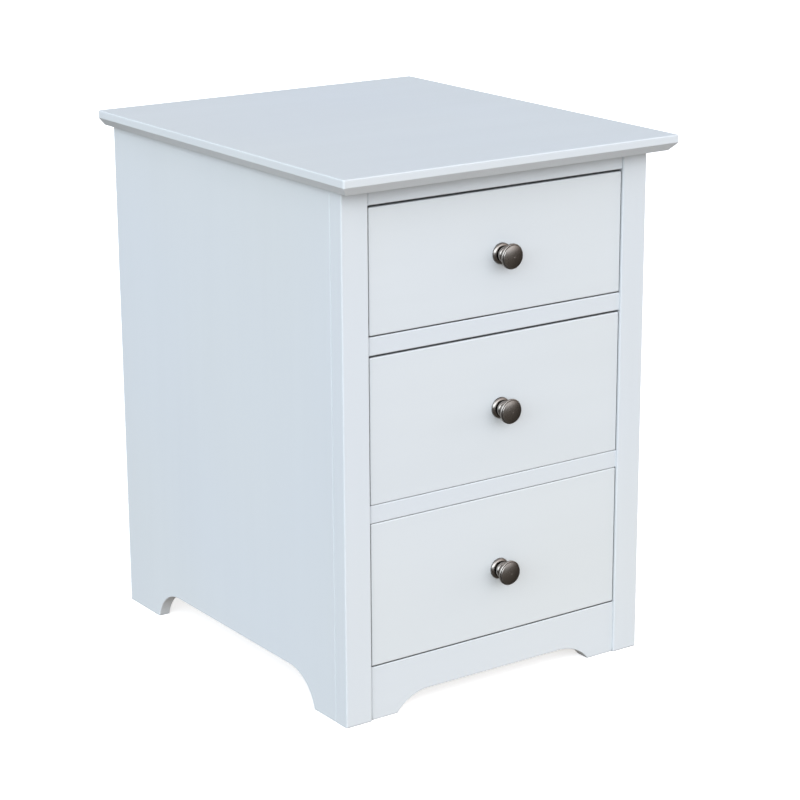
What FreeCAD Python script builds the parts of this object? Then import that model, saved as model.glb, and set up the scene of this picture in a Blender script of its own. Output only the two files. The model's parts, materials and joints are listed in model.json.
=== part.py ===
import FreeCAD, Part

import math
import os

# Three-drawer pedestal cabinet of painted wood on bracket feet.
# Millimetres, +Z up. The origin is on the floor under the middle of the top panel.
# The drawers face -Y. Left and right are those of a person who faces the drawers.

vector = FreeCAD.Vector

# Outer sizes
BODY_WIDTH = 441.0
BODY_DEPTH = 520.5
BODY_HEIGHT = 642.0
TOP_THICKNESS = 19.5
TOP_SIDE_OVERHANG = 19.5
TOP_FRONT_OVERHANG = 35.5
TOP_BACK_OVERHANG = 3.0

# Top panel edge: an upright band above a bevel that is cut away underneath
TOP_BAND_HEIGHT = 9.3
TOP_BEVEL_INSET = 9.1
TOP_CORNER_RADIUS = 2.5
TOP_EDGE_EASE = 1.6

# Face frame: the stiles stand a little in front of the rails
STILE_WIDTH = 36.0
STILE_DEPTH = 23.0
RAIL_RECESS = 3.0
RAIL_HEIGHT = 22.0
APRON_HEIGHT = 67.2
EDGE_EASE = 1.5
JOINT_EASE = 1.0
END_BEVEL_WIDTH = 3.4
END_BEVEL_DEPTH = 2.4
TENON_LENGTH = 12.0
TENON_THICKNESS = 8.0
TENON_SHOULDER = 4.0

# Boards of the carcass
SIDE_THICKNESS = 15.0
TONGUE_LENGTH = 6.0
TONGUE_THICKNESS = 5.0
TONGUE_STOP = 8.0
BACK_THICKNESS = 6.0
BACK_RABBET = 7.0
BACK_RABBET_CLEARANCE = 0.5
BACK_RAIL_HEIGHT = 60.0
BACK_RAIL_THICKNESS = 18.0
BOTTOM_THICKNESS = 12.0
BOTTOM_UNDERSIDE = 44.0
BOTTOM_DADO = 5.0
CLEAT_WIDTH = 18.0
CLEAT_HEIGHT = 20.0
FOOT_BLOCK_LEG = 40.0
FOOT_BLOCK_LIFT = 2.0

# Arched gaps between the feet: a flat top that ends in round corners
FRONT_FOOT_WIDTH = 75.0
FRONT_ARCH_HEIGHT = 21.7
FRONT_ARCH_RADIUS = 57.5
SIDE_FRONT_FOOT = 70.5
SIDE_REAR_FOOT = 75.5
SIDE_ARCH_HEIGHT = 40.3
SIDE_ARCH_RADIUS = 55.0
ARCH_EASE = 1.0

# Drawers from the top down: name, opening height, the gap below and above the front, and the
# height of the knob above the opening's lower edge
DRAWERS = [
    ("top", 151.8, 1.3, 2.6, 72.8),
    ("middle", 178.8, 0.3, 2.3, 86.5),
    ("bottom", 178.2, 1.3, 0.4, 84.2),
]
FRONT_LEFT_GAP = 2.6
FRONT_RIGHT_GAP = 0.4
KNOB_ACROSS = 4.3
FRONT_THICKNESS = 19.0
FRONT_EASE = 1.6
BOX_SIDE_THICKNESS = 12.0
BOX_LENGTH = 450.0
BOX_LIFT = 12.0
BOX_HEADROOM = 24.5
BOX_BOTTOM_THICKNESS = 5.0
BOX_BOTTOM_LIFT = 12.0
BOX_GROOVE_DEPTH = 5.0
TAIL_PITCH = 34.0
TAIL_WIDE = 24.0
TAIL_NARROW = 19.0

# Ball-bearing slides: three nested channels on each side of each drawer
SLIDE_LENGTH = 450.0
SLIDE_WIDTH = 12.7
SLIDE_SHEET = 1.2
SLIDE_FRONT_GAP = 2.0
SLIDE_ABOVE_BOX_BOTTOM = 57.0
OUTER_CHANNEL_HEIGHT = 45.0
MIDDLE_CHANNEL_HEIGHT = 41.4
INNER_CHANNEL_HEIGHT = 37.8
OUTER_CHANNEL_REACH = 9.6
MIDDLE_CHANNEL_START = 3.6
MIDDLE_CHANNEL_REACH = 7.0
INNER_CHANNEL_REACH = 6.0
SPACER_HEIGHT = 60.0

# Fasteners
HOLE_CLEARANCE = 0.05
WOOD_SCREW_RADIUS = 1.75
WOOD_SCREW_HEAD_RADIUS = 3.5
WOOD_SCREW_HEAD_HEIGHT = 1.6
SCREW_TIP = 3.0
SPACER_SCREW_LENGTH = 16.0
BOX_SCREW_LENGTH = 9.5
FACE_SCREW_LENGTH = 25.0
TOP_SCREW_LENGTH = 30.0
SLIDE_SCREW_STATIONS = [35.0, 225.0, 415.0]
TOP_SCREW_STATIONS = [60.0, 235.0, 410.0]
FACE_SCREW_INSET = 30.0
FACE_SCREW_SPREAD = 125.0
MACHINE_SCREW_RADIUS = 2.0
MACHINE_SCREW_HEAD_RADIUS = 4.0
MACHINE_SCREW_HEAD_HEIGHT = 2.6
MACHINE_SCREW_LENGTH = 40.0
KNOB_SCREW_HOLE = 2.4

# Knob, as distance out from the drawer front and radius
KNOB_FLANGE = 12.9
KNOB_GROOVE = 7.6
KNOB_BEAD = 9.9
KNOB_NECK = 6.2
KNOB_RIM = 15.2
KNOB_FACE = 13.8
KNOB_DOME_START = 23.6
KNOB_DOME_RISE = 1.9

# Places worked out from the sizes
TOP_WIDTH = BODY_WIDTH + 2 * TOP_SIDE_OVERHANG
TOP_DEPTH = TOP_FRONT_OVERHANG + BODY_DEPTH + TOP_BACK_OVERHANG
BODY_FRONT = TOP_FRONT_OVERHANG - TOP_DEPTH / 2
BODY_BACK = BODY_FRONT + BODY_DEPTH
RAIL_FRONT = BODY_FRONT + RAIL_RECESS
FRAME_BACK = BODY_FRONT + STILE_DEPTH
BACK_PANEL_FRONT = BODY_BACK - BACK_THICKNESS
BACK_RAIL_FRONT = BACK_PANEL_FRONT - BACK_RAIL_THICKNESS
HALF_BODY = BODY_WIDTH / 2
HALF_INSIDE = HALF_BODY - SIDE_THICKNESS
HALF_OPENING = HALF_BODY - STILE_WIDTH
HALF_BOX = HALF_OPENING - SLIDE_WIDTH
FACE_BACK = RAIL_FRONT + FRONT_THICKNESS
BOX_INSIDE_FRONT = FACE_BACK + BOX_SIDE_THICKNESS
BOX_BACK = FACE_BACK + BOX_LENGTH
SLIDE_FRONT = FACE_BACK + SLIDE_FRONT_GAP
RIGHT = 1
LEFT = -1
SIDES = {"left": LEFT, "right": RIGHT}


def block(low, high):
    """Box between two corners, given in any order."""
    corners = list(zip(low, high))
    start = vector(*[min(pair) for pair in corners])
    size = [abs(pair[1] - pair[0]) for pair in corners]
    return Part.makeBox(*size, start)


def prism(corners, push):
    """Straight solid with the given outline."""
    return Part.Face(Part.makePolygon(corners + [corners[0]])).extrude(push)


def other_side(shape):
    """The same piece on the opposite side of the cabinet."""
    return shape.mirror(vector(0, 0, 0), vector(1, 0, 0))


def on_side(shape, side):
    """A piece made on the right, moved to the side asked for."""
    if side == LEFT:
        return other_side(shape)
    return shape


def edges_on(shape, axis, value):
    """Edges that lie wholly in the plane where one coordinate has the given value."""
    found = []
    for edge in shape.Edges:
        middle = edge.valueAt((edge.FirstParameter + edge.LastParameter) / 2)
        points = [vertex.Point for vertex in edge.Vertexes] + [middle]
        if all(abs(getattr(point, axis) - value) < 0.01 for point in points):
            found.append(edge)
    return found


def runs_along(edge, axis):
    """True for a straight edge parallel to the axis."""
    start, end = edge.Vertexes[0].Point, edge.Vertexes[-1].Point
    return abs(abs(getattr(end, axis) - getattr(start, axis)) - edge.Length) < 0.01


def drilled(shape, starts, direction, radius, depth):
    """The shape with round holes that start at the given points."""
    for start in starts:
        shape = shape.cut(Part.makeCylinder(radius, depth, start, direction))
    return shape


def screw(seat, direction, length, radius, head_radius, head_height):
    """Screw whose head sits on the seat point and whose shank runs along the direction."""
    head = Part.makeCylinder(head_radius, head_height, seat - direction * head_height, direction)
    shank = Part.makeCylinder(radius, length - SCREW_TIP, seat, direction)
    tip_start = seat + direction * (length - SCREW_TIP)
    tip = Part.makeCone(radius, radius / 2, SCREW_TIP, tip_start, direction)
    return head.fuse(shank).fuse(tip).removeSplitter()


def wood_screw(seat, direction, length):
    return screw(seat, direction, length, WOOD_SCREW_RADIUS, WOOD_SCREW_HEAD_RADIUS,
                 WOOD_SCREW_HEAD_HEIGHT)


def screw_holes(shape, seats, direction, length):
    """The shape with holes for wood screws that are driven from the seat points."""
    return drilled(shape, seats, direction, WOOD_SCREW_RADIUS + HOLE_CLEARANCE, length)


def arch_cutter(place, start, end, height, radius, depth):
    """Solid of an arched gap. place turns (along, up) into a point, and depth is its thickness."""
    below = -5.0
    centre_up = height - radius
    reach = math.sqrt(radius ** 2 - centre_up ** 2)
    low_reach = math.sqrt(radius ** 2 - (below - centre_up) ** 2)
    half_angle = (math.atan2(below - centre_up, low_reach) + math.pi / 2) / 2
    flat_start, flat_end = start + reach, end - reach
    side, rise = radius * math.cos(half_angle), centre_up + radius * math.sin(half_angle)
    corners = [place(flat_start - low_reach, below), place(flat_start, height),
               place(flat_end, height), place(flat_end + low_reach, below)]
    edges = [
        Part.Arc(corners[0], place(flat_start - side, rise), corners[1]).toShape(),
        Part.LineSegment(corners[1], corners[2]).toShape(),
        Part.Arc(corners[2], place(flat_end + side, rise), corners[3]).toShape(),
        Part.LineSegment(corners[3], corners[0]).toShape(),
    ]
    return Part.Face(Part.Wire(edges)).extrude(depth)


# Carcass

def make_top_panel():
    """Board with an upright edge band, and a bevel below it on the front and both sides."""
    half_width, half_depth = TOP_WIDTH / 2, TOP_DEPTH / 2
    underside, upper = BODY_HEIGHT, BODY_HEIGHT + TOP_THICKNESS
    band_bottom = upper - TOP_BAND_HEIGHT
    board = block((-half_width, -half_depth, underside), (half_width, half_depth, upper))
    board = board.makeFillet(TOP_CORNER_RADIUS, [edge for edge in board.Edges if runs_along(edge, "z")])
    board = board.makeFillet(TOP_EDGE_EASE, edges_on(board, "z", upper))
    side_wedge = prism([
        vector(half_width + 1, -half_depth - 1, band_bottom),
        vector(half_width, -half_depth - 1, band_bottom),
        vector(half_width - TOP_BEVEL_INSET, -half_depth - 1, underside),
        vector(half_width + 1, -half_depth - 1, underside),
    ], vector(0, TOP_DEPTH + 2, 0))
    front_wedge = prism([
        vector(-half_width - 1, -half_depth - 1, band_bottom),
        vector(-half_width - 1, -half_depth, band_bottom),
        vector(-half_width - 1, -half_depth + TOP_BEVEL_INSET, underside),
        vector(-half_width - 1, -half_depth - 1, underside),
    ], vector(TOP_WIDTH + 2, 0, 0))
    board = board.cut(front_wedge).cut(side_wedge).cut(other_side(side_wedge))
    for side in SIDES.values():
        board = screw_holes(board, top_screw_seats(side), vector(0, 0, 1), TOP_SCREW_LENGTH)
    return board


def make_side_panel():
    """Right side: an arched gap between two feet, and grooves for the back and the bottom."""
    panel = block((HALF_INSIDE, FRAME_BACK, 0), (HALF_BODY, BODY_BACK, BODY_HEIGHT))
    gap = arch_cutter(lambda along, up: vector(HALF_INSIDE - 1, along, up),
                      BODY_FRONT + SIDE_FRONT_FOOT, BODY_BACK - SIDE_REAR_FOOT,
                      SIDE_ARCH_HEIGHT, SIDE_ARCH_RADIUS, vector(SIDE_THICKNESS + 2, 0, 0))
    panel = panel.cut(gap)
    outside = edges_on(panel, "x", HALF_BODY)
    front_edge = [edge for edge in edges_on(panel, "y", FRAME_BACK) if edge.BoundBox.XMin > HALF_BODY - 1
                  and runs_along(edge, "z")]
    kept_sharp = edges_on(panel, "z", BODY_HEIGHT) + front_edge
    eased = [edge for edge in outside if not any(edge.isSame(sharp) for sharp in kept_sharp)]
    panel = panel.makeFillet(ARCH_EASE, eased)
    corner = HALF_BODY - JOINT_EASE
    joint_bevel = prism([vector(HALF_BODY, FRAME_BACK, -1), vector(corner, FRAME_BACK, -1),
                         vector(HALF_BODY, FRAME_BACK + JOINT_EASE, -1)],
                        vector(0, 0, BODY_HEIGHT + 2))
    tongue_middle = HALF_BODY - SIDE_THICKNESS / 2
    tongue = block((tongue_middle - TONGUE_THICKNESS / 2, FRAME_BACK - TONGUE_LENGTH, TONGUE_STOP),
                   (tongue_middle + TONGUE_THICKNESS / 2, FRAME_BACK, BODY_HEIGHT - TONGUE_STOP))
    rabbet = block((HALF_INSIDE - 1, BACK_PANEL_FRONT, BOTTOM_UNDERSIDE),
                   (HALF_INSIDE + BACK_RABBET, BODY_BACK + 1, BODY_HEIGHT + 1))
    dado = block((HALF_INSIDE - 1, FRAME_BACK, BOTTOM_UNDERSIDE),
                 (HALF_INSIDE + BOTTOM_DADO, BACK_RAIL_FRONT, BOTTOM_UNDERSIDE + BOTTOM_THICKNESS))
    return panel.cut(joint_bevel).fuse(tongue).cut(rabbet).cut(dado).removeSplitter()


def make_stile(rails, side_panel):
    """Right stile, with mortises for the rails and a groove for the side panel's tongue."""
    stile = block((HALF_OPENING, BODY_FRONT, 0), (HALF_BODY, FRAME_BACK, BODY_HEIGHT))
    front_edges = [edge for edge in edges_on(stile, "y", BODY_FRONT)
                   if runs_along(edge, "z") or edge.BoundBox.ZMax < 1]
    stile = stile.makeFillet(EDGE_EASE, front_edges)
    corner = HALF_BODY - JOINT_EASE
    joint_bevel = prism([vector(HALF_BODY, FRAME_BACK, -1), vector(corner, FRAME_BACK, -1),
                         vector(HALF_BODY, FRAME_BACK - JOINT_EASE, -1)],
                        vector(0, 0, BODY_HEIGHT + 2))
    stile = stile.cut(joint_bevel).cut(side_panel)
    for rail in rails:
        stile = stile.cut(rail)
    return stile


def make_rail(bottom, top, eased_heights):
    """Rail between the stiles, with the long front edges at the given heights eased."""
    rail = block((-HALF_OPENING, RAIL_FRONT, bottom), (HALF_OPENING, FRAME_BACK, top))
    front = edges_on(rail, "y", RAIL_FRONT)
    eased = [edge for edge in front if runs_along(edge, "x")
             and any(abs(edge.BoundBox.ZMin - height) < 0.01 for height in eased_heights)]
    rail = rail.makeFillet(EDGE_EASE, eased)
    return with_finished_ends(rail, bottom, top)


def with_finished_ends(rail, bottom, top):
    """The rail with a stub tenon at each end, and its left front corner planed off beside the stile."""
    bevel = prism([vector(-HALF_OPENING, RAIL_FRONT, bottom - 1),
                   vector(END_BEVEL_WIDTH - HALF_OPENING, RAIL_FRONT, bottom - 1),
                   vector(-HALF_OPENING, RAIL_FRONT + END_BEVEL_DEPTH, bottom - 1)],
                  vector(0, 0, top - bottom + 2))
    middle = (RAIL_FRONT + FRAME_BACK) / 2
    tenon = block((HALF_OPENING, middle - TENON_THICKNESS / 2, bottom + TENON_SHOULDER),
                  (HALF_OPENING + TENON_LENGTH, middle + TENON_THICKNESS / 2, top - TENON_SHOULDER))
    return rail.cut(bevel).fuse(tenon).fuse(other_side(tenon)).removeSplitter()


def make_apron():
    """Bottom rail, whose arch leaves a foot at each end."""
    rail = block((-HALF_OPENING, RAIL_FRONT, 0), (HALF_OPENING, FRAME_BACK, APRON_HEIGHT))
    half_gap = HALF_BODY - FRONT_FOOT_WIDTH
    gap = arch_cutter(lambda along, up: vector(along, RAIL_FRONT - 1, up), -half_gap, half_gap,
                      FRONT_ARCH_HEIGHT, FRONT_ARCH_RADIUS, vector(0, STILE_DEPTH, 0))
    rail = rail.cut(gap)
    eased = [edge for edge in edges_on(rail, "y", RAIL_FRONT) if not runs_along(edge, "z")]
    return with_finished_ends(rail.makeFillet(ARCH_EASE, eased), 0, APRON_HEIGHT)


def make_back_panel():
    reach = HALF_INSIDE + BACK_RABBET - BACK_RABBET_CLEARANCE
    return block((-reach, BACK_PANEL_FRONT, BOTTOM_UNDERSIDE), (reach, BODY_BACK, BODY_HEIGHT))


def make_back_rail(bottom):
    return block((-HALF_INSIDE, BACK_RAIL_FRONT, bottom),
                 (HALF_INSIDE, BACK_PANEL_FRONT, bottom + BACK_RAIL_HEIGHT))


def make_bottom_panel():
    reach = HALF_INSIDE + BOTTOM_DADO
    return block((-reach, FRAME_BACK, BOTTOM_UNDERSIDE),
                 (reach, BACK_RAIL_FRONT, BOTTOM_UNDERSIDE + BOTTOM_THICKNESS))


def top_screw_seats(side):
    middle = side * (HALF_INSIDE - CLEAT_WIDTH / 2)
    return [vector(middle, FRAME_BACK + station, BODY_HEIGHT - CLEAT_HEIGHT)
            for station in TOP_SCREW_STATIONS]


def make_top_cleat(side):
    """Strip in the corner between a side panel and the top, which holds the top's screws."""
    cleat = block((side * (HALF_INSIDE - CLEAT_WIDTH), FRAME_BACK, BODY_HEIGHT - CLEAT_HEIGHT),
                  (side * HALF_INSIDE, BACK_RAIL_FRONT, BODY_HEIGHT))
    return screw_holes(cleat, top_screw_seats(side), vector(0, 0, 1), TOP_SCREW_LENGTH)


def make_top_screws():
    return [wood_screw(seat, vector(0, 0, 1), TOP_SCREW_LENGTH)
            for side in SIDES.values() for seat in top_screw_seats(side)]


def make_foot_block():
    """Right three-cornered glue block behind the front foot."""
    corner = vector(HALF_INSIDE, FRAME_BACK, FOOT_BLOCK_LIFT)
    return prism([corner, corner + vector(-FOOT_BLOCK_LEG, 0, 0), corner + vector(0, FOOT_BLOCK_LEG, 0)],
                 vector(0, 0, BOTTOM_UNDERSIDE - FOOT_BLOCK_LIFT))


# Slides

def make_channel(web, flange_end, height, centre_height):
    """Folded channel: an upright web, and a flange above and below that reach to flange_end."""
    outward = 1 if flange_end > web else -1
    back = SLIDE_FRONT + SLIDE_LENGTH
    low, high = centre_height - height / 2, centre_height + height / 2
    solid = block((web, SLIDE_FRONT, low), (flange_end, back, high))
    hollow = block((web + outward * SLIDE_SHEET, SLIDE_FRONT - 1, low + SLIDE_SHEET),
                   (flange_end + outward, back + 1, high - SLIDE_SHEET))
    return solid.cut(hollow)


def slide_screw_seats(across, centre_height):
    return [vector(across, SLIDE_FRONT + station, centre_height) for station in SLIDE_SCREW_STATIONS]


def make_outer_channel(centre_height):
    """Right cabinet member, screwed to its spacer."""
    channel = make_channel(HALF_OPENING, HALF_OPENING - OUTER_CHANNEL_REACH, OUTER_CHANNEL_HEIGHT,
                           centre_height)
    seats = slide_screw_seats(HALF_OPENING - SLIDE_SHEET, centre_height)
    return screw_holes(channel, seats, vector(1, 0, 0), SLIDE_SHEET)


def make_middle_channel(centre_height):
    """Right telescoping member, which travels half as far as the drawer."""
    web = HALF_OPENING - MIDDLE_CHANNEL_START
    return make_channel(web, web - MIDDLE_CHANNEL_REACH, MIDDLE_CHANNEL_HEIGHT, centre_height)


def make_inner_channel(centre_height):
    """Right drawer member, screwed to the side of the drawer box."""
    channel = make_channel(HALF_BOX, HALF_BOX + INNER_CHANNEL_REACH, INNER_CHANNEL_HEIGHT, centre_height)
    seats = slide_screw_seats(HALF_BOX + SLIDE_SHEET, centre_height)
    return screw_holes(channel, seats, vector(-1, 0, 0), SLIDE_SHEET)


def make_spacer(centre_height):
    """Right strip that packs a slide out from the side panel, level with the stile's edge."""
    spacer = block((HALF_OPENING, FRAME_BACK, centre_height - SPACER_HEIGHT / 2),
                   (HALF_INSIDE, BACK_RAIL_FRONT, centre_height + SPACER_HEIGHT / 2))
    seats = slide_screw_seats(HALF_OPENING - SLIDE_SHEET, centre_height)
    return screw_holes(spacer, seats, vector(1, 0, 0), SPACER_SCREW_LENGTH)


def make_spacer_screws(centre_height):
    seats = slide_screw_seats(HALF_OPENING - SLIDE_SHEET, centre_height)
    return [wood_screw(seat, vector(1, 0, 0), SPACER_SCREW_LENGTH) for seat in seats]


def both_sides(shapes):
    """The shapes and their mirror images, as one group of separate solids."""
    return Part.makeCompound(shapes + [other_side(shape) for shape in shapes])


# Drawers

def knob_profile(base):
    """Half outline of a knob: a domed flange, a bead, a neck, and a head with a raised face."""
    def at(out, radius):
        return base + vector(radius, -out, 0)

    def arc(*points):
        return Part.Arc(*[at(*point) for point in points]).toShape()

    def line(start, end):
        return Part.LineSegment(at(*start), at(*end)).toShape()

    flange_edge, flange_end = (1.3, KNOB_FLANGE), (3.8, KNOB_GROOVE + 1.8)
    groove_start, bead_start, bead_end = (3.8, KNOB_GROOVE), (4.8, KNOB_GROOVE), (10.6, KNOB_GROOVE)
    neck_start, neck_end, rim_back = (10.6, KNOB_NECK), (14.8, KNOB_NECK + 2.0), (18.9, KNOB_RIM - 0.9)
    rim_start, rim_end, rim_front = (19.8, KNOB_RIM), (20.8, KNOB_RIM), (22.0, KNOB_RIM - 0.9)
    face_foot, face_wall_end = (22.0, KNOB_FACE), (22.9, KNOB_FACE)
    dome_edge = KNOB_FACE - 0.8
    dome_radius = (dome_edge ** 2 + KNOB_DOME_RISE ** 2) / (2 * KNOB_DOME_RISE)
    peak = KNOB_DOME_START + KNOB_DOME_RISE
    half_way = peak - dome_radius + math.sqrt(dome_radius ** 2 - (dome_edge / 2) ** 2)
    return [
        line((0, 0), (0, KNOB_FLANGE)),
        line((0, KNOB_FLANGE), flange_edge),
        arc(flange_edge, (3.1, KNOB_FLANGE - 1.5), flange_end),
        line(flange_end, groove_start),
        line(groove_start, bead_start),
        arc(bead_start, (7.7, KNOB_BEAD), bead_end),
        line(bead_end, neck_start),
        arc(neck_start, (12.9, KNOB_NECK + 0.5), neck_end),
        arc(neck_end, (17.4, KNOB_RIM - 3.4), rim_back),
        arc(rim_back, (19.2, KNOB_RIM - 0.4), rim_start),
        line(rim_start, rim_end),
        arc(rim_end, (21.65, KNOB_RIM - 0.35), rim_front),
        line(rim_front, face_foot),
        line(face_foot, face_wall_end),
        arc(face_wall_end, (23.4, KNOB_FACE - 0.25), (KNOB_DOME_START, dome_edge)),
        arc((KNOB_DOME_START, dome_edge), (half_way, dome_edge / 2), (peak, 0)),
        line((peak, 0), (0, 0)),
    ]


def make_knob(height):
    """Turned knob with a blind threaded hole in its back."""
    base = vector(KNOB_ACROSS, RAIL_FRONT, height)
    knob = Part.Face(Part.Wire(knob_profile(base))).revolve(base, vector(0, 1, 0), 360)
    grip = MACHINE_SCREW_LENGTH - FRONT_THICKNESS - BOX_SIDE_THICKNESS
    return drilled(knob, [base], vector(0, -1, 0), MACHINE_SCREW_RADIUS + HOLE_CLEARANCE, grip + 1)


def make_knob_screw(height):
    seat = vector(KNOB_ACROSS, BOX_INSIDE_FRONT, height)
    return screw(seat, vector(0, -1, 0), MACHINE_SCREW_LENGTH, MACHINE_SCREW_RADIUS,
                 MACHINE_SCREW_HEAD_RADIUS, MACHINE_SCREW_HEAD_HEIGHT)


def face_screw_seats(box_bottom, box_top):
    return [vector(side * FACE_SCREW_SPREAD, BOX_INSIDE_FRONT, height)
            for side in SIDES.values()
            for height in (box_bottom + FACE_SCREW_INSET, box_top - FACE_SCREW_INSET)]


def make_drawer_front(low, high, knob_height, box_bottom, box_top):
    """Inset front board with eased edges and corners all round its face."""
    front = block((-HALF_OPENING + FRONT_LEFT_GAP, RAIL_FRONT, low),
                  (HALF_OPENING - FRONT_RIGHT_GAP, FACE_BACK, high))
    back_edges = edges_on(front, "y", FACE_BACK)
    eased = [edge for edge in front.Edges if not any(edge.isSame(back) for back in back_edges)]
    front = front.makeFillet(FRONT_EASE, eased)
    front = screw_holes(front, face_screw_seats(box_bottom, box_top), vector(0, -1, 0),
                        FACE_SCREW_LENGTH)
    return drilled(front, [vector(KNOB_ACROSS, FACE_BACK, knob_height)], vector(0, -1, 0),
                   KNOB_SCREW_HOLE, FRONT_THICKNESS)


def tail(end, inward, middle):
    """Dovetail on the end of a box side: wide at the end, narrow where it meets the board."""
    inner = end + inward * BOX_SIDE_THICKNESS
    corners = [vector(HALF_BOX - BOX_SIDE_THICKNESS, end, middle - TAIL_WIDE / 2),
               vector(HALF_BOX - BOX_SIDE_THICKNESS, end, middle + TAIL_WIDE / 2),
               vector(HALF_BOX - BOX_SIDE_THICKNESS, inner, middle + TAIL_NARROW / 2),
               vector(HALF_BOX - BOX_SIDE_THICKNESS, inner, middle - TAIL_NARROW / 2)]
    return prism(corners, vector(BOX_SIDE_THICKNESS, 0, 0))


def make_box_side(box_bottom, box_top, slide_height):
    """Right side of a drawer box: dovetails at both ends and a groove for the bottom."""
    side = block((HALF_BOX - BOX_SIDE_THICKNESS, BOX_INSIDE_FRONT, box_bottom),
                 (HALF_BOX, BOX_BACK - BOX_SIDE_THICKNESS, box_top))
    height = box_top - box_bottom
    count = int(height // TAIL_PITCH)
    first = box_bottom + (height - (count - 1) * TAIL_PITCH) / 2
    for number in range(count):
        middle = first + number * TAIL_PITCH
        side = side.fuse(tail(FACE_BACK, 1, middle)).fuse(tail(BOX_BACK, -1, middle))
    side = side.removeSplitter().cut(box_groove(box_bottom))
    seats = slide_screw_seats(HALF_BOX, slide_height)
    return screw_holes(side, seats, vector(-1, 0, 0), BOX_SCREW_LENGTH)


def box_groove(box_bottom):
    """Space that the drawer bottom and its grooves take up inside the box."""
    reach = HALF_BOX - BOX_SIDE_THICKNESS + BOX_GROOVE_DEPTH
    low = box_bottom + BOX_BOTTOM_LIFT
    return block((-reach, BOX_INSIDE_FRONT - BOX_GROOVE_DEPTH, low),
                 (reach, BOX_BACK - BOX_SIDE_THICKNESS + BOX_GROOVE_DEPTH, low + BOX_BOTTOM_THICKNESS))


def make_box_end(front, box_bottom, box_top, box_sides):
    """Front or back of a drawer box, cut to fit round the dovetails of the sides."""
    end = block((-HALF_BOX, front, box_bottom), (HALF_BOX, front + BOX_SIDE_THICKNESS, box_top))
    for side in box_sides:
        end = end.cut(side)
    return end.cut(box_groove(box_bottom))


def make_drawer(low, high, front_low, front_high, knob_height):
    """Every piece that moves with one drawer, by the last words of its name."""
    box_bottom, box_top = low + BOX_LIFT, high - BOX_HEADROOM
    slide_height = box_bottom + SLIDE_ABOVE_BOX_BOTTOM
    right_side = make_box_side(box_bottom, box_top, slide_height)
    left_side = other_side(right_side)
    box_front = make_box_end(FACE_BACK, box_bottom, box_top, [left_side, right_side])
    box_front = screw_holes(box_front, face_screw_seats(box_bottom, box_top), vector(0, -1, 0),
                            BOX_SIDE_THICKNESS)
    box_front = drilled(box_front, [vector(KNOB_ACROSS, BOX_INSIDE_FRONT, knob_height)],
                        vector(0, -1, 0), KNOB_SCREW_HOLE, BOX_SIDE_THICKNESS)
    right_channel = make_inner_channel(slide_height)
    face_screws = [wood_screw(seat, vector(0, -1, 0), FACE_SCREW_LENGTH)
                   for seat in face_screw_seats(box_bottom, box_top)]
    box_screws = [wood_screw(seat, vector(-1, 0, 0), BOX_SCREW_LENGTH)
                  for seat in slide_screw_seats(HALF_BOX + SLIDE_SHEET, slide_height)]
    mirrored_box_screws = [other_side(one) for one in box_screws]
    return {
        "drawer_front": make_drawer_front(front_low, front_high, knob_height, box_bottom, box_top),
        "box_front": box_front,
        "box_back": make_box_end(BOX_BACK - BOX_SIDE_THICKNESS, box_bottom, box_top,
                                 [left_side, right_side]),
        "box_left_side": left_side,
        "box_right_side": right_side,
        "box_bottom": box_groove(box_bottom),
        "left_slide_inner": other_side(right_channel),
        "right_slide_inner": right_channel,
        "drawer_screws": Part.makeCompound(face_screws + box_screws + mirrored_box_screws),
        "knob": make_knob(knob_height),
        "knob_screw": make_knob_screw(knob_height),
    }


def make_cabinet():
    """Every piece of the cabinet by name."""
    parts = {}
    spacers, spacer_screws = [], []
    rail_bottoms = []
    high = BODY_HEIGHT - RAIL_HEIGHT
    for name, height, gap_below, gap_above, knob_height in DRAWERS:
        low = high - height
        drawer = make_drawer(low, high, low + gap_below, high - gap_above, low + knob_height)
        for piece, shape in drawer.items():
            parts[name + "_" + piece] = shape
        slide_height = low + BOX_LIFT + SLIDE_ABOVE_BOX_BOTTOM
        outer = make_outer_channel(slide_height)
        parts[name + "_right_slide_outer"] = outer
        parts[name + "_left_slide_outer"] = other_side(outer)
        parts[name + "_slide_middles"] = both_sides([make_middle_channel(slide_height)])
        spacers.append(make_spacer(slide_height))
        spacer_screws.extend(make_spacer_screws(slide_height))
        high = low - RAIL_HEIGHT
        rail_bottoms.append(high)

    upper, lower = rail_bottoms[:2]
    rails = {
        "top_rail": make_rail(BODY_HEIGHT - RAIL_HEIGHT, BODY_HEIGHT, [BODY_HEIGHT - RAIL_HEIGHT]),
        "upper_rail": make_rail(upper, upper + RAIL_HEIGHT, [upper, upper + RAIL_HEIGHT]),
        "lower_rail": make_rail(lower, lower + RAIL_HEIGHT, [lower, lower + RAIL_HEIGHT]),
        "apron": make_apron(),
    }
    parts.update(rails)
    side_panel = make_side_panel()
    stile = make_stile(rails.values(), side_panel)
    for side_name, side in SIDES.items():
        parts[side_name + "_side_panel"] = on_side(side_panel, side)
        parts[side_name + "_stile"] = on_side(stile, side)
    parts["top_panel"] = make_top_panel()
    parts["back_panel"] = make_back_panel()
    parts["back_top_rail"] = make_back_rail(BODY_HEIGHT - BACK_RAIL_HEIGHT)
    parts["back_bottom_rail"] = make_back_rail(BOTTOM_UNDERSIDE)
    parts["bottom_panel"] = make_bottom_panel()
    parts["top_cleats"] = Part.makeCompound([make_top_cleat(side) for side in SIDES.values()])
    parts["top_screws"] = Part.makeCompound(make_top_screws())
    parts["foot_blocks"] = both_sides([make_foot_block()])
    parts["slide_spacers"] = both_sides(spacers)
    parts["slide_screws"] = both_sides(spacer_screws)
    return parts


def main():
    os.makedirs("parts", exist_ok=True)
    for name, shape in make_cabinet().items():
        shape.exportStep("parts/" + name + ".step")


main()
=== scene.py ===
import json
import math

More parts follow.
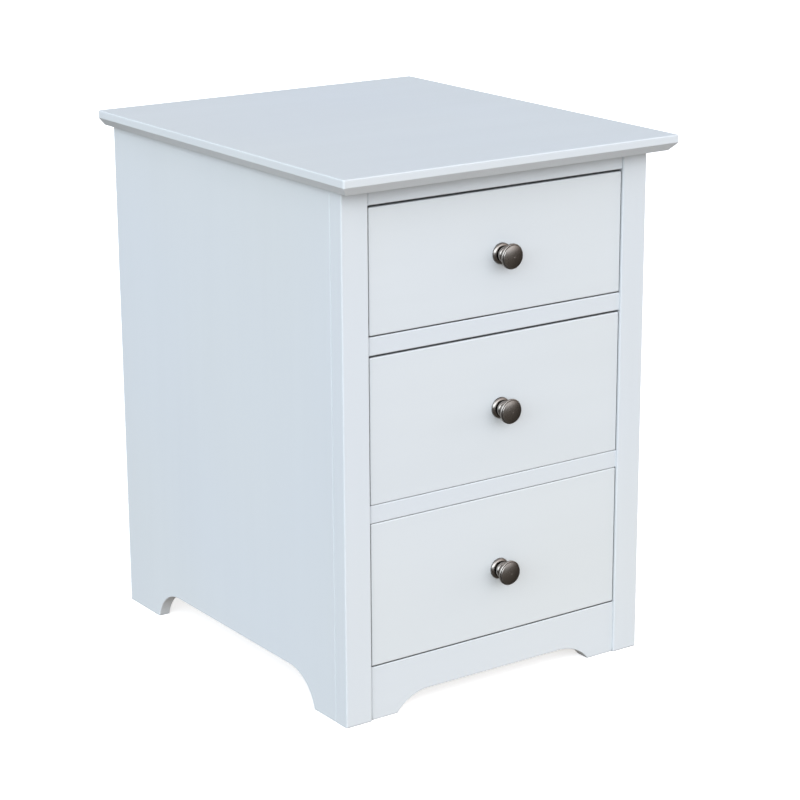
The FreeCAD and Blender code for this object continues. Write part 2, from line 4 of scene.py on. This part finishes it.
import bpy
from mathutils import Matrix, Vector

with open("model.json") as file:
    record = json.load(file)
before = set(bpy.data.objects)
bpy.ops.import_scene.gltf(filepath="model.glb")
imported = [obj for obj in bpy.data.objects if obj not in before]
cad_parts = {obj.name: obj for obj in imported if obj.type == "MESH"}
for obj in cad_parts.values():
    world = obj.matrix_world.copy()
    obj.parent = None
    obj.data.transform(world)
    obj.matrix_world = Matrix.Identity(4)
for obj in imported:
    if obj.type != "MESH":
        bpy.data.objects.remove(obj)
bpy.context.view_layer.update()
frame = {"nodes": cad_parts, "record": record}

# Camera, in metres and degrees: the yaw is from +Y towards +X
CAMERA_PLACE = (-1.6604, -2.4300, 1.1730)
CAMERA_YAW = 35.764
CAMERA_PITCH = -16.416
CAMERA_LENS_MM = 108.93
CAMERA_SENSOR_MM = 36.0
CAMERA_SHIFT = (-0.05, 0.0)

# Studio surround, linear colour and brightness: a broad light at the front left, a warmer one high
# in front, a dim dome overhead and the glow of the ground. Glossy surfaces see only the share
# GROUND_SHEEN of that glow, as over a dark studio floor. The gains scale the patterns of the first
# two lights, which alone peak at about 0.10 and 0.22. The fill lamps are (azimuth, strength).
CORNER_LIGHT = (2.78, 3.20, 3.58)
CORNER_GAIN = 13.5
FRONT_LIGHT = (0.80, 0.44, 0.20)
FRONT_GAIN = 4.0
DOME_LIGHT = (0.49, 0.53, 0.62)
GROUND_GLOW = (0.43, 0.375, 0.33)
GROUND_SHEEN = 0.40
HORIZON_BLUR = 0.06
BACKDROP_STRENGTH = 1.3
FILL_LAMPS = {"right_fill": (0.0, 2.0), "back_fill": (90.0, 2.2)}
FILL_ELEVATION = 6.0
FILL_SOFTNESS = 50.0

# Colours, linear
PAINT_COLOUR = (0.602, 0.636, 0.658)
COOL_SHIFT = (0.990, 1.0, 1.014)
CREAM_SHIFT = (1.008, 1.002, 0.972)
# Painted shade in narrow gaps: the dark colour, how far the gap test reaches in metres, and the
# share of open air above which no shade is painted
GAP_SHADE_COLOUR = (0.10, 0.10, 0.10)
GAP_SHADE_REACH = 0.006
GAP_SHADE_END = 0.62
HARDWOOD_LIGHT = (0.66, 0.47, 0.27)
HARDWOOD_DARK = (0.50, 0.32, 0.16)
PLYWOOD_LIGHT = (0.70, 0.53, 0.33)
PLYWOOD_DARK = (0.55, 0.38, 0.21)
RAW_LIGHT = (0.62, 0.45, 0.27)
RAW_DARK = (0.46, 0.31, 0.17)
END_GRAIN_LIGHT = 0.9
END_GRAIN_SHADE = 0.62
BOARD_EDGE_RADIUS = 0.0008
PEWTER_DARK = (0.030, 0.026, 0.028)
PEWTER_LIGHT = (0.34, 0.315, 0.29)
PEWTER_RIM_TINT = (0.35, 0.33, 0.31)
# Reach in metres of the knob's darkening in hollows: real patina in its grooves, and painted shade
# where the flange meets the drawer front
PATINA_AND_SHADE_REACH = 0.0035
ZINC_COLOUR = (0.66, 0.67, 0.69)
SCREW_COLOUR = (0.52, 0.50, 0.45)
ZINC_METALLIC = 0.55
CRYSTAL_SHADE = 0.93
FLOOR_COLOUR = (0.9, 0.9, 0.9)
FLOOR_GLOW = 0.5
FLOOR_HALF_WIDTH = 30.0

# Depth of each finish's fine relief, in metres
PAINT_RELIEF = 0.00006
WOOD_RELIEF = 0.00008
PEWTER_RELIEF = 0.00002
STEEL_RELIEF = 0.00003
FLOOR_RELIEF = 0.0001


# Node-tree helpers

def new_material(name):
    material = bpy.data.materials.new(name)
    material.use_nodes = True
    material.node_tree.nodes.clear()
    return material


def add(tree, kind, links=None, values=None, **settings):
    """New node with its settings, plain input values, and links from other nodes' outputs."""
    node = tree.nodes.new(kind)
    for name, value in settings.items():
        setattr(node, name, value)
    for name, value in (values or {}).items():
        node.inputs[name].default_value = value
    for name, output in (links or {}).items():
        tree.links.new(output, node.inputs[name])
    return node


def feed(tree, socket, value):
    """Sets an input from a number, a colour or another node's output."""
    if isinstance(value, (int, float)):
        socket.default_value = value
    elif isinstance(value, tuple):
        socket.default_value = (*value, 1.0)
    else:
        tree.links.new(value, socket)


def math_node(tree, operation, first, second):
    """Output of a two-input sum, product and so on. Each input is an output socket or a number."""
    node = add(tree, "ShaderNodeMath", operation=operation)
    feed(tree, node.inputs[0], first)
    feed(tree, node.inputs[1], second)
    return node.outputs[0]


def stretched(tree, scale):
    """Position on the piece in metres, multiplied by scale along each axis."""
    place = add(tree, "ShaderNodeTexCoord")
    return add(tree, "ShaderNodeVectorMath", {0: place.outputs["Object"]}, {1: scale},
               operation="MULTIPLY").outputs[0]


def noise(tree, scale, detail=3.0, roughness=0.5, distortion=0.0):
    """Noise from 0 to 1 whose pattern repeats about every 1 / scale metres along each axis."""
    node = add(tree, "ShaderNodeTexNoise", {"Vector": stretched(tree, scale)},
               {"Scale": 1.0, "Detail": detail, "Roughness": roughness, "Distortion": distortion})
    return node.outputs["Fac"]


def remap(tree, value, low, high, from_low=0.0, from_high=1.0):
    node = add(tree, "ShaderNodeMapRange", {"Value": value},
               {"From Min": from_low, "From Max": from_high, "To Min": low, "To Max": high})
    return node.outputs["Result"]


def mix_values(tree, factor, first, second):
    """Number between first and second; each input is an output socket or a number."""
    node = add(tree, "ShaderNodeMix")
    for name, value in (("Factor", factor), ("A", first), ("B", second)):
        feed(tree, node.inputs[name], value)
    return node.outputs["Result"]


def mix_colours(tree, factor, first, second, blend="MIX"):
    """Colour between first and second; each of the two is an output socket or a colour."""
    node = add(tree, "ShaderNodeMix", data_type="RGBA", blend_type=blend)
    feed(tree, node.inputs["Factor"], factor)
    for name, value in (("A", first), ("B", second)):
        feed(tree, next(s for s in node.inputs if s.name == name and s.type == "RGBA"), value)
    return next(s for s in node.outputs if s.type == "RGBA")


def shaded(tree, colour, amount):
    """Colour times a number that comes from an output socket."""
    grey = add(tree, "ShaderNodeCombineColor", {"Red": amount, "Green": amount, "Blue": amount})
    return mix_colours(tree, 1.0, colour, grey.outputs[0], "MULTIPLY")


def openness(tree, reach, shut, clear):
    """1 in the open and 0 deep in a gap narrower than reach metres. shut and clear are the shares
    of open air that give 0 and 1, with a smooth step between them."""
    air = add(tree, "ShaderNodeAmbientOcclusion", values={"Distance": reach}, samples=8)
    step = add(tree, "ShaderNodeMapRange", {"Value": air.outputs["AO"]},
               {"From Min": shut, "From Max": clear}, interpolation_type="SMOOTHSTEP")
    return step.outputs["Result"]


def relief(tree, height, strength, depth, **links):
    """Normal of a fine relief, whose height from 0 to 1 is depth metres."""
    return add(tree, "ShaderNodeBump", {"Height": height, **links},
               {"Strength": strength, "Distance": depth}).outputs[0]


def surface(material, links, values):
    tree = material.node_tree
    shader = add(tree, "ShaderNodeBsdfPrincipled", links, values)
    add(tree, "ShaderNodeOutputMaterial", {"Surface": shader.outputs[0]})
    return material


def along(axis, lengthwise, crosswise):
    """Scale for a pattern that runs along one axis."""
    return tuple(lengthwise if name == axis else crosswise for name in "xyz")


# Materials

def paint(grain, warmth=0.0):
    """Satin white enamel over wood: spray texture, a trace of grain, slight drift in colour, and
    painted shade that darkens the paint in narrow gaps. warmth shifts the white from blue towards
    cream."""
    material = new_material("white_enamel_" + grain + ("_warm" if warmth else ""))
    tree = material.node_tree
    bands = noise(tree, along(grain, 1.2, 16.0), detail=3.0, roughness=0.6)
    cloud = noise(tree, (4.0, 4.0, 4.0), detail=2.0)
    tone = math_node(tree, "ADD", remap(tree, bands, 0.980, 1.012, 0.2, 0.8),
                     remap(tree, cloud, -0.010, 0.010))
    drift = noise(tree, (2.6, 2.6, 2.6), detail=1.0)
    cool = tuple(c * k for c, k in zip(PAINT_COLOUR, COOL_SHIFT))
    cream = tuple(c * k for c, k in zip(PAINT_COLOUR, CREAM_SHIFT))
    tint = mix_colours(tree, remap(tree, drift, warmth, 0.7 + warmth, 0.3, 0.7), cool, cream)
    # Painted shade: the paint darkens towards dark grey deep in narrow gaps and between parts
    unshaded = openness(tree, GAP_SHADE_REACH, 0.0, GAP_SHADE_END)
    colour = mix_colours(tree, unshaded, GAP_SHADE_COLOUR, shaded(tree, tint, tone))
    pores = noise(tree, along(grain, 28.0, 900.0), detail=4.0, roughness=0.6)
    peel = noise(tree, (620.0, 620.0, 620.0), detail=2.0)
    waves = noise(tree, along(grain, 5.0, 42.0), detail=2.0)
    height = math_node(tree, "ADD", math_node(tree, "MULTIPLY", pores, 0.35),
                       math_node(tree, "MULTIPLY", peel, 0.5))
    height = math_node(tree, "ADD", height, math_node(tree, "MULTIPLY", waves, 2.2))
    bump = relief(tree, height, 0.55, PAINT_RELIEF)
    rough = remap(tree, math_node(tree, "MULTIPLY", peel, pores), 0.36, 0.47, 0.1, 0.5)
    return surface(material, {"Base Color": colour, "Roughness": rough, "Normal": bump},
                   {"IOR": 1.5, "Specular IOR Level": 0.5})


def wood(name, grain, light, dark, gloss_range, coat):
    """Pale wood whose grain runs along one axis, with darker end grain on the ends of the board and
    a little rounding on its edges. gloss_range is its lowest and highest roughness."""
    material = new_material(name + "_" + grain)
    tree = material.node_tree
    bands = noise(tree, along(grain, 1.6, 36.0), detail=5.0, roughness=0.6, distortion=0.6)
    streaks = noise(tree, along(grain, 12.0, 420.0), detail=4.0, roughness=0.65)
    flecks = noise(tree, along(grain, 60.0, 1400.0), detail=2.0)
    figure = math_node(tree, "ADD", math_node(tree, "MULTIPLY", bands, 0.62),
                       math_node(tree, "MULTIPLY", streaks, 0.38))
    face = mix_colours(tree, remap(tree, figure, 0.0, 1.0, 0.36, 0.64), light, dark)
    face = shaded(tree, face, remap(tree, flecks, 1.0, 0.80, 0.60, 0.72))
    rings = noise(tree, (260.0, 260.0, 260.0), detail=4.0, roughness=0.7)
    end = mix_colours(tree, rings, tuple(c * END_GRAIN_LIGHT for c in light),
                      tuple(c * END_GRAIN_SHADE for c in dark))
    place = add(tree, "ShaderNodeTexCoord")
    split = add(tree, "ShaderNodeSeparateXYZ", {0: place.outputs["Normal"]})
    facing = math_node(tree, "ABSOLUTE", split.outputs["xyz".index(grain)], 0.0)
    colour = mix_colours(tree, math_node(tree, "GREATER_THAN", facing, 0.8), face, end)
    height = math_node(tree, "ADD", streaks, math_node(tree, "MULTIPLY", flecks, 0.6))
    rounded = add(tree, "ShaderNodeBevel", values={"Radius": BOARD_EDGE_RADIUS}, samples=6)
    bump = relief(tree, height, 0.5, WOOD_RELIEF, Normal=rounded.outputs[0])
    rough = remap(tree, streaks, *gloss_range, 0.3, 0.7)
    return surface(material, {"Base Color": colour, "Roughness": rough, "Normal": bump},
                   {"Coat Weight": coat, "Coat Roughness": 0.25})


def pewter():
    """Antique plating: silvery where it is rubbed, dark patina in the grooves, painted shade on the
    flange next to the drawer front, and fine speckle.
    """
    material = new_material("antique_pewter")
    tree = material.node_tree
    cloud = noise(tree, (140.0, 140.0, 140.0), detail=2.0)
    speck = noise(tree, (1500.0, 1500.0, 1500.0), detail=3.0, roughness=0.6)
    # Darker in hollows: patina in the grooves, and painted shade on the flange next to the drawer
    # front
    rubbed_and_unshaded = openness(tree, PATINA_AND_SHADE_REACH, 0.30, 0.97)
    shade = math_node(tree, "ADD", remap(tree, cloud, -0.10, 0.10, 0.3, 0.7),
                      remap(tree, speck, -0.12, 0.12, 0.3, 0.7))
    colour = mix_colours(tree, math_node(tree, "ADD", shade, rubbed_and_unshaded), PEWTER_DARK, PEWTER_LIGHT)
    bump = relief(tree, speck, 0.2, PEWTER_RELIEF)
    rough = remap(tree, speck, 0.25, 0.34, 0.3, 0.7)
    return surface(material, {"Base Color": colour, "Roughness": rough, "Normal": bump},
                   {"Metallic": 1.0, "Specular Tint": (*PEWTER_RIM_TINT, 1.0)})


def steel(name, base, grain, gloss_range):
    """Zinc-plated steel: crystalline spangle, rolling marks along one axis, and a milky plated
    sheen. gloss_range is its lowest and highest roughness, which the crystals widen a little."""
    material = new_material(name)
    tree = material.node_tree
    marks = noise(tree, along(grain, 20.0, 1500.0), detail=3.0, roughness=0.6)
    spangle = add(tree, "ShaderNodeTexVoronoi", {"Vector": stretched(tree, (210.0, 210.0, 210.0))},
                  {"Scale": 1.0}).outputs["Color"]
    crystal = add(tree, "ShaderNodeSeparateColor", {"Color": spangle}).outputs["Red"]
    colour = mix_colours(tree, crystal, tuple(c * CRYSTAL_SHADE for c in base), base)
    bump = relief(tree, marks, 0.3, STEEL_RELIEF)
    rough = math_node(tree, "ADD", remap(tree, marks, *gloss_range, 0.3, 0.7),
                      remap(tree, crystal, -0.03, 0.03))
    return surface(material, {"Base Color": colour, "Roughness": rough, "Normal": bump},
                   {"Metallic": ZINC_METALLIC})


def floor_material():
    """Pale paper sweep with a faint tooth, bright enough to read as white."""
    material = new_material("pale_sweep")
    tree = material.node_tree
    tooth = noise(tree, (300.0, 300.0, 300.0), detail=3.0)
    colour = mix_colours(tree, tooth, tuple(c * 0.995 for c in FLOOR_COLOUR), FLOOR_COLOUR)
    bump = relief(tree, tooth, 0.1, FLOOR_RELIEF)
    return surface(material, {"Base Color": colour, "Normal": bump},
                   {"Roughness": 0.9, "Specular IOR Level": 0.1, "Emission Color": (1, 1, 1, 1),
                    "Emission Strength": FLOOR_GLOW})


def dress_nodes():
    """Gives every CAD node its material, with the grain along the length of its board."""
    paints = {axis: paint(axis) for axis in "xz"}
    front_paint = paint("x", warmth=0.3)
    hardwood = {axis: wood("lacquered_hardwood", axis, HARDWOOD_LIGHT, HARDWOOD_DARK,
                           (0.30, 0.42), 0.3) for axis in "xy"}
    plywood = wood("birch_plywood", "y", PLYWOOD_LIGHT, PLYWOOD_DARK, (0.34, 0.46), 0.2)
    raw = wood("planed_softwood", "y", RAW_LIGHT, RAW_DARK, (0.55, 0.7), 0.0)
    metal = pewter()
    rolled = steel("zinc_plated_slide", ZINC_COLOUR, "y", (0.28, 0.42))
    fastener = steel("zinc_plated_screw", SCREW_COLOUR, "y", (0.30, 0.45))
    upright = ("side_panel", "stile", "back_panel")
    slots = {entry["node"]: entry["material_slot"] for entry in frame["record"]["subparts"]}
    by_slot = {"drawer_plywood": plywood, "raw_wood": raw, "pewter": metal, "slide_steel": rolled,
               "zinc_steel": fastener}
    for name, node in frame["nodes"].items():
        slot = slots[name]
        if slot == "white_paint":
            chosen = paints["z"] if name.endswith(upright) else paints["x"]
            if name.endswith("drawer_front"):
                chosen = front_paint
        elif slot == "drawer_wood":
            chosen = hardwood["y"] if name.endswith("side") else hardwood["x"]
        else:
            chosen = by_slot[slot]
        node.material_slots[0].material = chosen


# Stage

def make_floor():
    half = FLOOR_HALF_WIDTH
    mesh = bpy.data.meshes.new("floor")
    mesh.from_pydata([(-half, -half, 0), (half, -half, 0), (half, half, 0), (-half, half, 0)], [],
                     [(0, 1, 2, 3)])
    floor = bpy.data.objects.new("floor", mesh)
    bpy.context.scene.collection.objects.link(floor)
    mesh.materials.append(floor_material())
    floor.visible_diffuse = False
    floor.visible_glossy = False


def make_sky():
    """Soft studio surround, built from the height and the direction of each ray that leaves the
    scene, with a plain white backdrop where it is seen itself."""
    world = bpy.data.worlds.new("studio")
    bpy.context.scene.world = world
    world.use_nodes = True
    tree = world.node_tree
    tree.nodes.clear()
    place = add(tree, "ShaderNodeTexCoord")
    across, away, up = add(tree, "ShaderNodeSeparateXYZ", {0: place.outputs["Generated"]}).outputs

    def times(first, second):
        return math_node(tree, "MULTIPLY", first, second)

    front = remap(tree, away, 1.0, 0.0, -1.0, 1.0)
    left = remap(tree, across, 1.0, 0.0, -1.0, 1.0)
    height = remap(tree, up, 0.0, 1.0)
    below_zenith = math_node(tree, "SUBTRACT", 1.0, height)
    corner = times(times(front, left), times(height, times(below_zenith, below_zenith)))
    high_front = times(times(front, front), times(height, below_zenith))
    glossy = add(tree, "ShaderNodeLightPath").outputs["Is Glossy Ray"]
    sheen = times(times(front, front), GROUND_SHEEN)
    below_horizon = remap(tree, up, 1.0, 0.0, -HORIZON_BLUR, HORIZON_BLUR)
    ground = times(below_horizon, mix_values(tree, glossy, 1.0, sheen))
    lobes = ((CORNER_LIGHT, times(corner, CORNER_GAIN)),
             (FRONT_LIGHT, times(high_front, FRONT_GAIN)),
             (DOME_LIGHT, times(height, height)),
             (GROUND_GLOW, ground))
    total = None
    for colour, strength in lobes:
        part = add(tree, "ShaderNodeBackground", {"Strength": strength},
                   {"Color": (*colour, 1.0)}).outputs[0]
        if total is not None:
            part = add(tree, "ShaderNodeAddShader", {0: total, 1: part}).outputs[0]
        total = part
    white = {"Color": (1.0, 1.0, 1.0, 1.0), "Strength": BACKDROP_STRENGTH}
    backdrop = add(tree, "ShaderNodeBackground", values=white).outputs[0]
    seen = add(tree, "ShaderNodeLightPath").outputs["Is Camera Ray"]
    shown = add(tree, "ShaderNodeMixShader", {0: seen, 1: total, 2: backdrop}).outputs[0]
    add(tree, "ShaderNodeOutputWorld", {"Surface": shown})


def heading(azimuth, elevation):
    """Unit vector at an azimuth from +X towards +Y and an elevation, both in degrees."""
    turn, rise = math.radians(azimuth), math.radians(elevation)
    level = math.cos(rise)
    return Vector((math.cos(turn) * level, math.sin(turn) * level, math.sin(rise)))


def make_fills():
    """Low, wide lamps that keep the right side and the back from going dark, and that glossy rays
    don't see."""
    for name, (azimuth, strength) in FILL_LAMPS.items():
        data = bpy.data.lights.new(name, "SUN")
        data.energy = strength
        data.angle = math.radians(FILL_SOFTNESS)
        lamp = bpy.data.objects.new(name, data)
        lamp.visible_glossy = False
        source = heading(azimuth, FILL_ELEVATION)
        lamp.rotation_euler = source.to_track_quat("Z", "Y").to_euler()
        bpy.context.scene.collection.objects.link(lamp)


def make_camera():
    data = bpy.data.cameras.new("camera")
    data.lens = CAMERA_LENS_MM
    data.sensor_width = CAMERA_SENSOR_MM
    data.shift_x, data.shift_y = CAMERA_SHIFT
    camera = bpy.data.objects.new("camera", data)
    ahead = heading(90.0 - CAMERA_YAW, CAMERA_PITCH)
    camera.location = CAMERA_PLACE
    camera.rotation_euler = ahead.to_track_quat("-Z", "Y").to_euler()
    bpy.context.scene.collection.objects.link(camera)
    bpy.context.scene.camera = camera


bpy.context.scene.view_settings.view_transform = "Standard"
dress_nodes()
make_floor()
make_sky()
make_fills()
make_camera()
